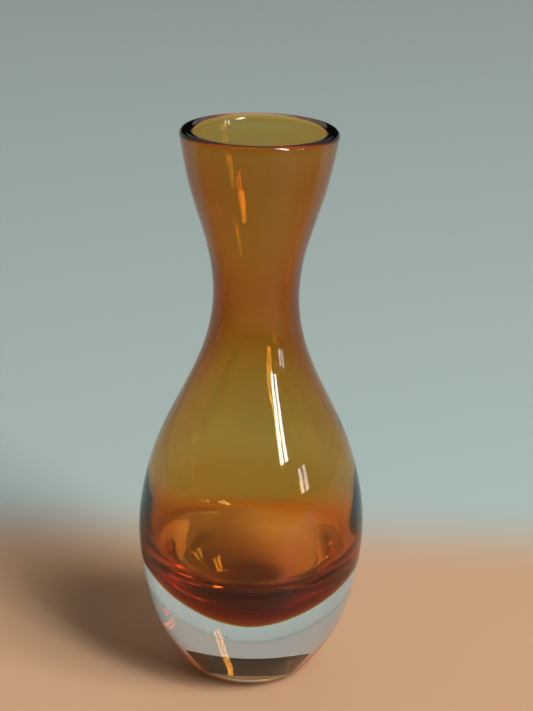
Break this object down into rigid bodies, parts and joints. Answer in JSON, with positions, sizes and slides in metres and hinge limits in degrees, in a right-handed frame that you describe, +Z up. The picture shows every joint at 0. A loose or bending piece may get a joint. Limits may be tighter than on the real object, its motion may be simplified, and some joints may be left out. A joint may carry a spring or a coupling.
{
  "type": "glass bud vase",
  "caption": "Cased-glass bud vase: round belly, waisted neck and flared mouth, with an amber inner glass around the cavity and a clear outer glass that forms a thick solid base.",
  "frame": {"origin": "centre of the flat foot, on the surface the vase stands on", "axes": "+Z up along the vase's axis of revolution, from foot to mouth; X and Y are any two level directions"},
  "size_m": [0.0806, 0.0806, 0.2],
  "materials": {
    "clear_outer_casing": "polished",
    "amber_inner_glass": "polished"
  },
  "bodies": {
    "root": {"clear_outer_casing": "clear_outer_casing", "amber_inner_glass": "amber_inner_glass"}
  },
  "joints": []
}
